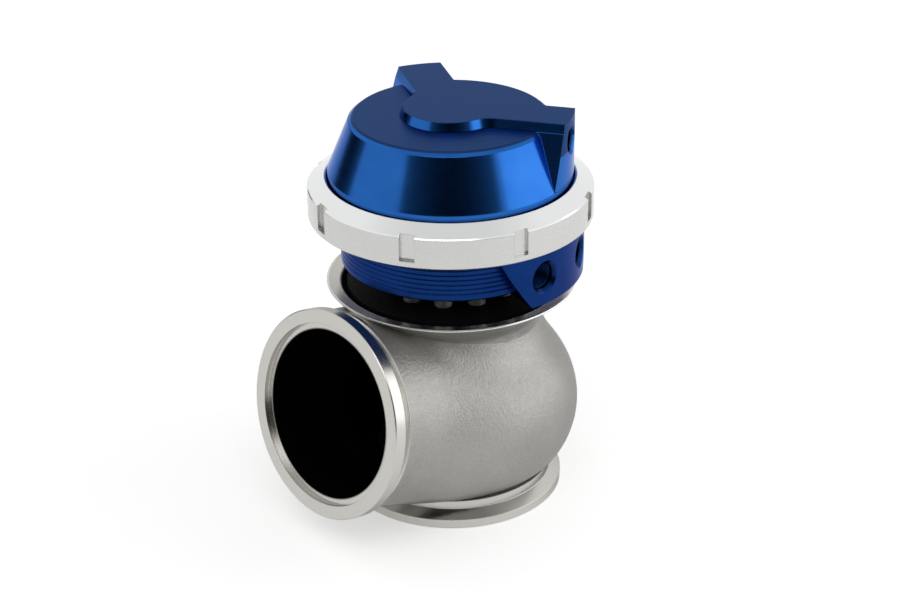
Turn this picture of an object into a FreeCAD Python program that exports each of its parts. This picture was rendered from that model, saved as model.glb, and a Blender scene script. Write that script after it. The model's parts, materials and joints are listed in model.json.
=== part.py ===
import FreeCAD, Part
import math
import os
import Sketcher

# External turbo wastegate: a cast stainless valve body with a tilted outlet, a poppet valve on a
# long stem, and a sprung diaphragm actuator held together by one threaded locking collar.
# Frame: origin at the centre of the inlet flange's bottom face, +Z up the valve axis, the outlet
# towards -Y. All sizes in millimetres and degrees.

doc = FreeCAD.newDocument("wastegate")
sheet = doc.addObject("Spreadsheet::Sheet", "Dims")

driving = {
    # inlet V-band flange and its register
    "inlet_rim": 37.3, "rim_depth": 3.3, "inlet_neck": 33.5, "vee_rise": 2.1, "ledge_z": 8.4,
    "register_radius": 29.0, "register_depth": 2.0, "seat_bore": 27.5, "seat_shoulder": 13.0,
    "throat": 26.0, "ledge_radius": 31.0,
    # the bulb is a ring of circular section around the valve axis
    "bulb_ring": 14.5, "bulb_z": 30.4, "bulb_round": 27.5, "wall": 4.5,
    # neck and open dish above the bulb
    "neck_radius": 30.0, "neck_top": 66.5, "cast_blend": 8.0,
    "dish_rim": 41.5, "dish_top": 76.5, "dish_lip": 0.7,
    "dish_inner": 37.3, "dish_slope": 0.7, "dish_floor_radius": 35.3, "dish_floor": 74.5,
    "boss_radius": 10.0, "boss_top": 78.5, "boss_bottom": 47.5,
    # outlet, measured along its own axis
    "outlet_z": 34.8, "outlet_tilt": 9.95, "outlet_reach": 57.84, "outlet_rim": 34.85,
    "outlet_rim_depth": 4.2, "outlet_tube": 33.2, "outlet_vee": 31.9, "outlet_bore": 28.0,
    "outlet_register": 30.3, "outlet_step": 1.7, "groove_back": 7.6, "groove_low": 6.6,
    "groove_front": 5.4, "duct_start": 12.0, "duct_throat": 19.0, "duct_open": 32.0,
    # valve, seat, guide
    "seat_bottom": 2.5, "seat_hole": 23.0, "seat_land": 25.4, "seat_gap": 0.08,
    "head_radius": 25.5, "head_edge": 1.3, "stem_radius": 4.0, "stem_start": 30.0,
    "stem_shoulder": 97.0, "stem_thread": 3.0, "stem_end": 110.5, "head_bottom": 10.0,
    "tulip_low_radius": 12.0, "tulip_low_z": 17.2, "tulip_high_radius": 6.2,
    "tulip_high_z": 21.0,
    "guide_radius": 7.5, "guide_bottom": 46.0, "guide_top": 80.0, "guide_running": 0.05,
    # shield, spacers, screws
    "shield_thick": 1.2, "shield_radius": 34.8,
    "screw_circle": 21.0, "screw_count": 12, "screw_first": 10.0,
    "screw_radius": 2.0, "screw_clear": 2.25, "screw_depth": 10.0, "screw_head": 3.5,
    "screw_head_tall": 4.0, "screw_key": 1.7, "sleeve_radius": 3.0,
    # lower housing
    "base_z": 84.0, "base_radius": 36.5, "floor_z": 88.5, "chamber_radius": 33.0,
    "shelf_z": 98.2, "thread_radius": 43.2, "face_z": 106.0, "fin_count": 7, "fin_pitch": 1.65,
    "fin_first": 86.2, "fin_cut": 0.85, "fin_deep": 0.8,
    "seal_boss": 12.0, "seal_boss_top": 94.0, "seal_radius": 8.5, "seal_bottom": 87.5,
    "seal_top": 92.2, "clip_z": 92.4, "clip_thick": 1.0, "clip_radius": 9.2, "clip_inner": 6.6,
    "clip_mouth": 3.2, "clip_ear_out": 7.5, "clip_ear_across": 2.9, "clip_ear_hole": 0.6,
    "stem_hole": 4.3,
    # port lug on the housing
    "lug_radius": 44.1, "lug_bottom": 81.3, "lug_top": 99.9, "lug_centre": 15.0,
    "lug_low_half": 23.3, "lug_high_half": 40.6, "lug_root": 27.0, "lug_root_share": 0.8,
    "lug_spare": 6.0, "lug_port_z": 90.6, "lug_port_step": 30.0,
    # threaded signal ports
    "port_radius": 4.3, "port_deep": 10.5, "port_mouth": 5.8, "port_chamfer": 1.4,
    "port_drill": 1.8,
    # diaphragm, plates and stem hardware
    "plate_thick": 2.0, "lower_plate": 27.0, "upper_plate": 26.0, "plate_rim": 3.9,
    "plate_rim_wall": 1.4, "plate_hole": 3.05, "rubber": 1.6, "bead_radius": 41.0,
    "washer_radius": 7.5, "washer_thick": 1.2, "nut_corner": 5.77, "nut_tall": 5.2,
    # springs, held between the upper plate and the cap's roof
    "roof_z": 128.0, "outer_coil": 22.6, "outer_wire": 3.0, "outer_turns": 3.4,
    "middle_coil": 17.0, "middle_wire": 2.6, "middle_turns": 4.0,
    "inner_coil": 11.5, "inner_wire": 2.2, "inner_turns": 5.0,
    # cap
    "flange_radius": 42.6, "flange_thick": 2.0, "skirt_radius": 40.2, "cone_z": 115.5,
    "crown_radius": 32.6, "crown_z": 133.8, "cavity_radius": 30.0,
    "cavity_straight": 122.0, "cavity_roof": 27.5, "stem_recess": 9.0, "hub_radius": 15.2,
    "pad_tall": 3.0, "pad_half": 7.3, "pad_blend": 8.0, "arm_high_half": 8.4,
    "arm_low_half": 13.7, "arm_spare": 4.0, "arm_end": 40.3, "arm_first": 32.0,
    "arm_step": 120.0, "arm_port_z": 129.5, "arm_drill_z": 125.5,
    # locking collar
    "collar_radius": 47.0, "collar_bottom": 100.1, "collar_bore": 43.3, "collar_hole": 40.75,
    "collar_edge": 110.6, "collar_top": 113.8, "lip_z": 109.7, "slot_count": 8,
    "slot_wide": 5.0, "slot_floor": 45.7, "slot_bottom": 102.3, "slot_first": 30.0,
}
for row, (alias, value) in enumerate(driving.items(), start=1):
    sheet.set(f"A{row}", alias)
    sheet.set(f"B{row}", str(value))
    sheet.setAlias(f"B{row}", alias)
doc.recompute()


def size(expression):
    """The value of an expression in the sheet's names, such as "wall + 2"."""
    return float(sheet.evalExpression(expression))


def bound(expression):
    """The same expression as another object writes it: every sheet name gets its prefix."""
    words = []
    for word in expression.replace("(", "( ").replace(")", " )").split():
        words.append(f"Dims.{word}" if word in driving else word)
    return " ".join(words)


def bind(thing, prop, expression):
    thing.setExpression(prop, bound(expression))


def new_body(label):
    body = doc.addObject("PartDesign::Body", label)
    body.Label = label
    body.AllowCompound = True
    return body


def plane(body, role):
    return next(p for p in body.Origin.OriginFeatures if p.Role == role)


def attach(thing, body, role, offset=None, turn=None):
    """Attach to an origin plane; offset holds expressions for x, y and z in that plane's frame."""
    thing.AttachmentSupport = [(plane(body, role), "")]
    thing.MapMode = "FlatFace"
    if turn is not None:
        thing.AttachmentOffset = FreeCAD.Placement(FreeCAD.Vector(), turn)
    for axis, expression in zip("xyz", offset or ()):
        if expression:
            bind(thing, f"AttachmentOffset.Base.{axis}", expression)


def pin(sketch, geometry, point, across, up):
    """Hold one sketch point at two expressions measured from the sketch's origin."""
    for kind, expression in (("DistanceX", across), ("DistanceY", up)):
        value = size(expression)
        if abs(value) < 1e-9:
            axis = -2 if kind == "DistanceX" else -1
            sketch.addConstraint(Sketcher.Constraint("PointOnObject", geometry, point, axis))
            continue
        index = sketch.addConstraint(Sketcher.Constraint(kind, -1, 1, geometry, point, value))
        bind(sketch, f"Constraints[{index}]", expression)


def outline(sketch, corners):
    """A closed outline. A corner is (across, up) or (across, up, radius expression): the edge
    that leaves a corner with a radius is an arc that bulges to the right of its direction."""
    points = [FreeCAD.Vector(size(c[0]), size(c[1]), 0) for c in corners]
    begins = []
    for index, corner in enumerate(corners):
        start, end = points[index], points[(index + 1) % len(points)]
        edge = Part.LineSegment(start, end)
        if len(corner) == 3:
            radius = size(corner[2])
            chord = end - start
            outward = FreeCAD.Vector(chord.y, -chord.x, 0).normalize()
            rise = radius - math.sqrt(radius ** 2 - (chord.Length / 2) ** 2)
            edge = Part.Arc(start, (start + end) / 2 + outward * rise, end)
        sketch.addGeometry(edge, False)
        begins.append(1 if sketch.getPoint(index, 1).isEqual(start, 1e-6) else 2)
    for index, corner in enumerate(corners):
        following = (index + 1) % len(corners)
        joint = (index, 3 - begins[index], following, begins[following])
        sketch.addConstraint(Sketcher.Constraint("Coincident", *joint))
        pin(sketch, index, begins[index], corner[0], corner[1])
        if len(corner) == 3:
            radius = Sketcher.Constraint("Radius", index, size(corner[2]))
            bind(sketch, f"Constraints[{sketch.addConstraint(radius)}]", corner[2])


def turned(body, name, corners, cut=False):
    """Turn an outline of (radius, height) corners about the body's Z axis."""
    sketch = body.newObject("Sketcher::SketchObject", name + "_section")
    attach(sketch, body, "XZ_Plane")
    outline(sketch, corners)
    kind = "PartDesign::Groove" if cut else "PartDesign::Revolution"
    turn = body.newObject(kind, name)
    turn.Profile = sketch
    turn.ReferenceAxis = (sketch, ["V_Axis"])
    turn.Angle = 360
    body.Tip = turn
    doc.recompute()
    return turn


def primitive(body, kind, name, sizes, offset=None, turn=None):
    """An additive or subtractive PartDesign primitive standing on the XY plane."""
    shape = body.newObject("PartDesign::" + kind, name)
    for prop, expression in sizes.items():
        bind(shape, prop, expression)
    attach(shape, body, "XY_Plane", offset, turn)
    body.Tip = shape
    doc.recompute()
    return shape


def around(body, name, originals, angle, count):
    """Repeat features about the body's Z axis."""
    pattern = body.newObject("PartDesign::PolarPattern", name)
    pattern.Originals = originals
    pattern.Axis = (next(a for a in body.Origin.OriginFeatures if a.Role == "Z_Axis"), [""])
    pattern.Mode = "Extent"
    bind(pattern, "Angle", angle)
    bind(pattern, "Occurrences", count)
    body.Tip = pattern
    doc.recompute()
    return pattern


def along(body, name, originals, pitch, count):
    """Repeat features up the body's Z axis."""
    pattern = body.newObject("PartDesign::LinearPattern", name)
    pattern.Originals = originals
    pattern.Direction = (next(a for a in body.Origin.OriginFeatures if a.Role == "Z_Axis"), [""])
    pattern.Mode = "Extent"
    bind(pattern, "Occurrences", count)
    bind(pattern, "Length", f"{pitch} * ( {count} - 1 )")
    body.Tip = pattern
    doc.recompute()
    return pattern


def on_round(ring, centre, radius, across, sign="+"):
    """Height of a section circle's upper or lower point at a distance from the axis."""
    return f"{centre} {sign} sqrt( {radius} ^ 2 - ( {across} - {ring} ) ^ 2 )"


def combine(kind, name, base, tools):
    """A Part boolean of one base with one or more tools."""
    made = doc.addObject("Part::" + kind, name)
    if kind == "Cut":
        made.Base = base
        made.Tool = tools[0]
        if len(tools) > 1:
            joined = doc.addObject("Part::MultiFuse", name + "_tools")
            joined.Shapes = tools
            made.Tool = joined
    else:
        made.Shapes = [base] + tools
    doc.recompute()
    return made


def tilted(body):
    """Stand a body that was turned about Z on the outlet's axis."""
    body.Placement = FreeCAD.Placement(FreeCAD.Vector(), FreeCAD.Rotation(
        FreeCAD.Vector(1, 0, 0), 90 - size("outlet_tilt")))
    bind(body, "Placement.Rotation.Angle", "90 - outlet_tilt")
    bind(body, "Placement.Base.z", "outlet_z")
    return body


def turned_to_screws(body):
    """Turn a ring that was patterned from the X axis to the screws' first bearing."""
    body.Placement = FreeCAD.Placement(FreeCAD.Vector(), FreeCAD.Rotation(
        FreeCAD.Vector(0, 0, 1), size("screw_first")))
    bind(body, "Placement.Rotation.Angle", "screw_first")
    return body


parts = {}


def keep(label, thing):
    """Record a finished sub-part under the name of its file."""
    thing.Label = label
    parts[label] = thing


def make_valve_body():
    """Stainless casting: bulb, neck, open dish and both V-band flanges, with its gas passage."""
    core = new_body("casting_core")
    turned(core, "outside", [
        ("0", "0"), ("inlet_rim - 0.4", "0"), ("inlet_rim", "0.4"),
        ("inlet_rim", "rim_depth"), ("inlet_neck", "rim_depth + vee_rise"),
        ("inlet_neck", "ledge_z"), ("ledge_radius", "ledge_z"),
        ("ledge_radius", on_round("bulb_ring", "bulb_z", "bulb_round", "ledge_radius", "-"),
         "bulb_round"),
        ("neck_radius", on_round("bulb_ring", "bulb_z", "bulb_round", "neck_radius")),
        ("neck_radius", "neck_top"), ("dish_rim", "dish_top - dish_lip"),
        ("dish_rim", "dish_top"), ("dish_inner", "dish_top - dish_slope"),
        ("dish_floor_radius", "dish_floor"), ("boss_radius", "dish_floor"),
        ("boss_radius", "boss_top"), ("0", "boss_top"),
    ])
    tube = new_body("outlet_outside")
    turned(tube, "tube", [
        ("0", "0"), ("outlet_tube", "0"), ("outlet_tube", "outlet_reach - groove_back"),
        ("outlet_vee", "outlet_reach - groove_low"), ("outlet_vee", "outlet_reach - groove_front"),
        ("outlet_rim", "outlet_reach - outlet_rim_depth"), ("outlet_rim", "outlet_reach - 0.3"),
        ("outlet_rim - 0.3", "outlet_reach"), ("0", "outlet_reach"),
    ])
    chamber = new_body("gas_chamber")
    inner = "( bulb_round - wall )"
    foot = "seat_shoulder + 1.5"
    foot_radius = f"bulb_ring + sqrt( {inner} ^ 2 - ( {foot} - bulb_z ) ^ 2 )"
    turned(chamber, "inside", [
        ("0", "-1"), ("register_radius", "-1"), ("register_radius", "register_depth"),
        ("seat_bore", "register_depth"), ("seat_bore", "seat_shoulder"),
        ("throat", "seat_shoulder"), ("throat", foot), (foot_radius, foot, inner),
        ("bulb_ring", f"bulb_z + {inner}"), ("boss_radius + 0.5", f"bulb_z + {inner}"),
        ("boss_radius", "boss_bottom"), ("0", "boss_bottom"),
    ])
    duct = new_body("outlet_duct")
    turned(duct, "bore", [
        ("0", "duct_start"), ("duct_throat", "duct_start"), ("outlet_bore", "duct_open"),
        ("outlet_bore", "outlet_reach - outlet_step"),
        ("outlet_register", "outlet_reach - outlet_step"),
        ("outlet_register", "outlet_reach + 1"), ("0", "outlet_reach + 1"),
    ])
    drilled = turned_to_screws(new_body("drilled_holes"))
    turned(drilled, "guide_hole", [
        ("0", "boss_bottom - 1"), ("guide_radius", "boss_bottom - 1"),
        ("guide_radius", "boss_top + 1"), ("0", "boss_top + 1"),
    ])
    tapping = primitive(drilled, "AdditiveCylinder", "tapping", {
        "Radius": "screw_radius", "Height": "screw_depth + 1"},
        ("screw_circle", None, "dish_floor - screw_depth"))
    around(drilled, "tappings", [tapping], "360", "screw_count")
    solid = blend_creases(combine("MultiFuse", "casting_solid", core, [tilted(tube)]))
    keep("valve_body", combine("Cut", "valve_body", solid, [chamber, tilted(duct), drilled]))


def blend_creases(solid):
    """Cast blends where the tube, bulb, neck and dish run into each other."""
    radius = size("cast_blend")
    picked = []
    for number, edge in enumerate(solid.Shape.Edges, start=1):
        faces = solid.Shape.ancestorsOfType(edge, Part.Face)
        kinds = sorted(type(face.Surface).__name__ for face in faces)
        curve = type(edge.Curve).__name__
        neck_end = curve == "Circle" and abs(edge.Curve.Radius - size("neck_radius")) < 0.01
        on_bulb = curve == "BSplineCurve" and kinds == ["Cylinder", "SurfaceOfRevolution"]
        on_neck = (curve == "BSplineCurve" and kinds == ["Cylinder", "Cylinder"]
                   and edge.CenterOfMass.z > size("bulb_z"))
        if neck_end or on_bulb or on_neck:
            picked.append((number, radius, radius))
    blends = doc.addObject("Part::Fillet", "casting_blends")
    blends.Base = solid
    blends.Edges = picked
    doc.recompute()
    return blends


def make_valve_seat():
    """Hardened ring behind the inlet register; its 45 degree land meets the valve."""
    body = new_body("valve_seat")
    turned(body, "ring", [
        ("seat_hole", "seat_bottom"), ("seat_bore", "seat_bottom"),
        ("seat_bore", "seat_shoulder"), ("seat_land", "seat_shoulder"),
        ("seat_hole", "seat_shoulder - seat_land + seat_hole"),
    ])
    keep("valve_seat", body)


def make_valve_guide():
    body = new_body("valve_guide")
    bore = "stem_radius + guide_running"
    turned(body, "bush", [
        (bore, "guide_bottom"), ("guide_radius - 0.8", "guide_bottom"),
        ("guide_radius", "guide_bottom + 0.8"), ("guide_radius", "guide_top - 0.8"),
        ("guide_radius - 0.8", "guide_top"), (bore, "guide_top"),
    ])
    keep("valve_guide", body)


def make_valve():
    """One-piece poppet valve: 45 degree face, tulip neck, long stem with a threaded end."""
    face = "seat_shoulder - seat_land + seat_gap"
    body = new_body("valve")
    turned(body, "poppet", [
        ("0", "head_bottom"), (f"head_bottom - ( {face} )", "head_bottom"),
        ("head_radius", f"head_radius + {face}"),
        ("head_radius", f"head_radius + {face} + head_edge"),
        ("head_radius - 0.7", f"head_radius + {face} + head_edge + 0.6"),
        ("tulip_low_radius", "tulip_low_z"), ("tulip_high_radius", "tulip_high_z"),
        ("stem_radius", "stem_start"),
        ("stem_radius", "stem_shoulder"), ("stem_thread", "stem_shoulder"),
        ("stem_thread", "stem_end - 0.6"), ("stem_thread - 0.6", "stem_end"), ("0", "stem_end"),
    ])
    keep("valve", body)


def make_heat_shield():
    """Black plate on the dish floor that keeps exhaust heat from the actuator."""
    body = new_body("heat_shield")
    turned(body, "plate", [
        ("boss_radius + 0.3", "dish_floor"), ("shield_radius", "dish_floor"),
        ("shield_radius", "dish_floor + shield_thick"),
        ("boss_radius + 0.3", "dish_floor + shield_thick"),
    ])
    hole = primitive(body, "SubtractiveCylinder", "screw_hole", {
        "Radius": "screw_clear", "Height": "shield_thick + 2"},
        ("screw_circle", None, "dish_floor - 1"))
    around(body, "screw_holes", [hole], "360", "screw_count")
    keep("heat_shield", turned_to_screws(body))


def make_spacer_sleeves():
    """Stainless sleeves that hold the housing clear of the hot casting."""
    body = new_body("spacer_sleeves")
    foot = "dish_floor + shield_thick"
    tube = primitive(body, "AdditiveCylinder", "tube", {
        "Radius": "sleeve_radius", "Height": f"base_z - ( {foot} )"},
        ("screw_circle", None, foot))
    bore = primitive(body, "SubtractiveCylinder", "bore", {
        "Radius": "screw_clear", "Height": "base_z"}, ("screw_circle", None, "0"))
    around(body, "sleeves", [tube, bore], "360", "screw_count")
    keep("spacer_sleeves", turned_to_screws(body))


def make_base_screws():
    """Socket-head screws from the housing floor, through the sleeves, into the casting."""
    body = new_body("base_screws")
    tip = "dish_floor - screw_depth + 1"
    shank = primitive(body, "AdditiveCylinder", "shank", {
        "Radius": "screw_radius", "Height": f"floor_z - ( {tip} )"},
        ("screw_circle", None, tip))
    head = primitive(body, "AdditiveCylinder", "head", {
        "Radius": "screw_head", "Height": "screw_head_tall"},
        ("screw_circle", None, "floor_z"))
    socket = primitive(body, "SubtractivePrism", "socket", {
        "Circumradius": "screw_key", "Height": "screw_head_tall"},
        ("screw_circle", None, "floor_z + screw_head_tall / 2"))
    around(body, "screws", [shank, head, socket], "360", "screw_count")
    keep("base_screws", turned_to_screws(body))


def radial_ports(body, count, centre, step, surface, height, drill_height, drill_from):
    """Threaded ports bored square to the axis, each with a mouth chamfer and a drilling."""
    first = "0" if count == 1 else f"{centre} - {step} / 2"
    for index in range(count):
        bearing = size(f"{first} + {index} * {step}")
        across = FreeCAD.Rotation(FreeCAD.Vector(0, 0, 1), bearing)
        inwards = across * FreeCAD.Rotation(FreeCAD.Vector(0, 1, 0), -90)
        outwards = across.multVec(FreeCAD.Vector(1, 0, 0))
        for name, kind, sizes, reach, level in (
                ("bore", "SubtractiveCylinder",
                 {"Radius": "port_radius", "Height": "port_deep + 2"},
                 f"{surface} + 2", height),
                ("mouth", "SubtractiveCone",
                 {"Radius1": "port_mouth + 2", "Radius2": "port_radius",
                  "Height": "port_chamfer + 2 * port_chamfer / ( port_mouth - port_radius )"},
                 f"{surface} + 2 * port_chamfer / ( port_mouth - port_radius )", height),
                ("drill", "SubtractiveCylinder",
                 {"Radius": "port_drill", "Height": f"{surface} - ( {drill_from} )"},
                 f"{surface} - 1", drill_height)):
            offset = (f"( {reach} ) * {outwards.x:.9f}", f"( {reach} ) * {outwards.y:.9f}", level)
            primitive(body, kind, f"port_{index + 1}_{name}", sizes, offset, inwards)


def make_lower_housing():
    """Blue anodised actuator base: finned wall, threaded rim, port lug and pressure chamber."""
    body = new_body("lower_housing")
    turned(body, "base", [
        ("stem_hole", "base_z"), ("base_radius - 0.6", "base_z"),
        ("base_radius", "base_z + 0.6"), ("base_radius", "shelf_z"),
        ("thread_radius", "shelf_z"), ("thread_radius", "face_z"),
        ("chamber_radius", "face_z"), ("chamber_radius", "floor_z"),
        ("seal_boss", "floor_z"), ("seal_boss", "seal_boss_top"),
        ("seal_radius", "seal_boss_top"), ("seal_radius", "seal_bottom"),
        ("stem_hole", "seal_bottom"),
    ])
    groove = turned(body, "fin_gap", [
        ("base_radius - fin_deep", "fin_first"), ("base_radius + 1", "fin_first"),
        ("base_radius + 1", "fin_first + fin_cut"), ("base_radius - fin_deep", "fin_first + fin_cut"),
    ], cut=True)
    along(body, "fin_gaps", [groove], "fin_pitch", "fin_count")
    lug = body.newObject("PartDesign::AdditiveLoft", "lug")
    faces = []
    for name, level, half in (("lug_foot", "lug_bottom", "lug_low_half"),
                              ("lug_head", "lug_top", "lug_high_half")):
        sketch = body.newObject("Sketcher::SketchObject", name)
        attach(sketch, body, "XY_Plane", (None, None, level),
               FreeCAD.Rotation(FreeCAD.Vector(0, 0, 1), size("lug_centre")))
        reach = "lug_radius + lug_spare"
        spread = f"( {reach} ) * tan( {half} )"
        root = f"lug_root * lug_root_share * tan( {half} )"
        outline(sketch, [("lug_root", f"0 - {root}"), (reach, f"0 - {spread}"),
                         (reach, spread), ("lug_root", root)])
        faces.append(sketch)
    lug.Profile = faces[0]
    lug.Sections = [faces[1]]
    lug.Ruled = True
    body.Tip = lug
    doc.recompute()
    turned(body, "lug_turning", [
        ("lug_radius", "lug_bottom - 2"), ("lug_radius + 30", "lug_bottom - 2"),
        ("lug_radius + 30", "face_z"), ("lug_radius", "face_z"),
    ], cut=True)
    turned(body, "chamber_clearing", [
        ("seal_boss", "floor_z"), ("chamber_radius", "floor_z"),
        ("chamber_radius", "face_z + 1"), ("seal_boss", "face_z + 1"),
    ], cut=True)
    turned(body, "clip_groove", [
        ("seal_radius - 0.5", "clip_z"), ("clip_radius + 0.1", "clip_z"),
        ("clip_radius + 0.1", "clip_z + clip_thick"), ("seal_radius - 0.5", "clip_z + clip_thick"),
    ], cut=True)
    hole = primitive(body, "SubtractiveCylinder", "screw_hole", {
        "Radius": "screw_clear", "Height": "floor_z"},
        ("screw_circle * cos( screw_first )", "screw_circle * sin( screw_first )", "base_z - 1"))
    around(body, "screw_holes", [hole], "360", "screw_count")
    radial_ports(body, 2, "lug_centre", "lug_port_step", "lug_radius", "lug_port_z",
                 "lug_port_z", "chamber_radius - 2")
    keep("lower_housing", body)


def make_stem_seal():
    body = new_body("stem_seal")
    bore = "stem_radius + 0.02"
    turned(body, "seal", [
        (bore, "seal_bottom"), ("seal_radius", "seal_bottom"), ("seal_radius", "seal_top"),
        ("seal_radius - 1.2", "seal_top"), ("seal_radius - 2", "seal_top - 2.2"),
        (f"{bore} + 0.9", "seal_top - 2.2"), (f"{bore} + 0.5", "seal_top"), (bore, "seal_top"),
    ])
    keep("stem_seal", body)


def make_seal_clip():
    """Internal circlip above the stem seal, open on one side, with two plier holes."""
    body = new_body("seal_clip")
    turned(body, "ring", [
        ("clip_inner", "clip_z"), ("clip_radius", "clip_z"),
        ("clip_radius", "clip_z + clip_thick"), ("clip_inner", "clip_z + clip_thick"),
    ])
    primitive(body, "SubtractiveBox", "mouth", {
        "Length": "clip_radius + 2", "Width": "clip_mouth", "Height": "clip_thick + 2"},
        ("0", "0 - clip_mouth / 2", "clip_z - 1"))
    for side, across in (("left", "clip_ear_across"), ("right", "0 - clip_ear_across")):
        primitive(body, "SubtractiveCylinder", side + "_plier_hole", {
            "Radius": "clip_ear_hole", "Height": "clip_thick + 2"},
            ("clip_ear_out", across, "clip_z - 1"))
    keep("seal_clip", body)


def make_lower_plate():
    body = new_body("lower_plate")
    turned(body, "plate", [
        ("plate_hole", "stem_shoulder"), ("lower_plate - 1", "stem_shoulder"),
        ("lower_plate", "stem_shoulder + 1"), ("lower_plate", "stem_shoulder + plate_thick"),
        ("plate_hole", "stem_shoulder + plate_thick"),
    ])
    keep("lower_plate", body)


def make_diaphragm():
    """Moulded rubber: flat hub, one rising convolution and a clamped outer bead."""
    hub = "stem_shoulder + plate_thick"
    body = new_body("diaphragm")
    turned(body, "rubber_sheet", [
        ("plate_hole", hub), ("lower_plate + 1", hub), ("chamber_radius - 1.8", "face_z - 1.4"),
        ("chamber_radius", "face_z"), ("bead_radius", "face_z"),
        ("bead_radius", "face_z + rubber"), ("chamber_radius - 0.9", "face_z + rubber"),
        ("chamber_radius - 3.3", "face_z - 0.8"), ("lower_plate + 0.1", f"{hub} + rubber"),
        ("plate_hole", f"{hub} + rubber"),
    ])
    keep("diaphragm", body)


def make_upper_plate():
    """Spring seat: a dished plate whose rim holds the outer spring central."""
    foot = "stem_shoulder + plate_thick + rubber"
    body = new_body("upper_plate")
    turned(body, "dish", [
        ("plate_hole", foot), ("upper_plate - 0.8", foot), ("upper_plate", f"{foot} + 0.8"),
        ("upper_plate", f"{foot} + plate_rim"),
        ("upper_plate - plate_rim_wall", f"{foot} + plate_rim"),
        ("upper_plate - plate_rim_wall", f"{foot} + plate_thick"),
        ("plate_hole", f"{foot} + plate_thick"),
    ])
    keep("upper_plate", body)


def make_stem_washer():
    seat = "stem_shoulder + 2 * plate_thick + rubber"
    body = new_body("stem_washer")
    turned(body, "washer", [
        ("plate_hole", seat), ("washer_radius", seat),
        ("washer_radius", f"{seat} + washer_thick"), ("plate_hole", f"{seat} + washer_thick"),
    ])
    keep("stem_washer", body)


def make_stem_nut():
    seat = "stem_shoulder + 2 * plate_thick + rubber + washer_thick"
    body = new_body("stem_nut")
    primitive(body, "AdditivePrism", "hexagon", {
        "Circumradius": "nut_corner", "Height": "nut_tall"}, (None, None, seat))
    primitive(body, "SubtractiveCylinder", "thread", {
        "Radius": "stem_thread", "Height": "nut_tall + 2"}, (None, None, f"{seat} - 1"))
    crown = f"{seat} + nut_tall"
    turned(body, "crown_chamfer", [
        ("nut_corner - 0.7", crown), ("nut_corner + 1", crown),
        ("nut_corner + 1", f"{crown} - 1"),
    ], cut=True)
    keep("stem_nut", body)


def make_spring(label, coil, wire, turns):
    """A round-wire spring standing on the upper plate, under the cap's roof."""
    seat = "stem_shoulder + 2 * plate_thick + rubber"
    body = new_body(label)
    sketch = body.newObject("Sketcher::SketchObject", label + "_wire")
    attach(sketch, body, "XZ_Plane")
    start = f"{seat} + {wire} / 2"
    sketch.addGeometry(Part.Circle(FreeCAD.Vector(size(coil), size(start), 0),
                                   FreeCAD.Vector(0, 0, 1), size(wire) / 2), False)
    pin(sketch, 0, 3, coil, start)
    radius = Sketcher.Constraint("Radius", 0, size(wire) / 2)
    bind(sketch, f"Constraints[{sketch.addConstraint(radius)}]", f"{wire} / 2")
    helix = body.newObject("PartDesign::AdditiveHelix", label + "_coils")
    helix.Profile = sketch
    helix.ReferenceAxis = (sketch, ["V_Axis"])
    helix.Mode = "height-turns-angle"
    bind(helix, "Height", f"roof_z - ( {seat} ) - {wire}")
    bind(helix, "Turns", turns)
    body.Tip = helix
    doc.recompute()
    keep(label, body)


def arm_rotations():
    for index in range(2):
        yield index, FreeCAD.Rotation(FreeCAD.Vector(0, 0, 1),
                                      size(f"arm_first + {index} * arm_step"))


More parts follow.
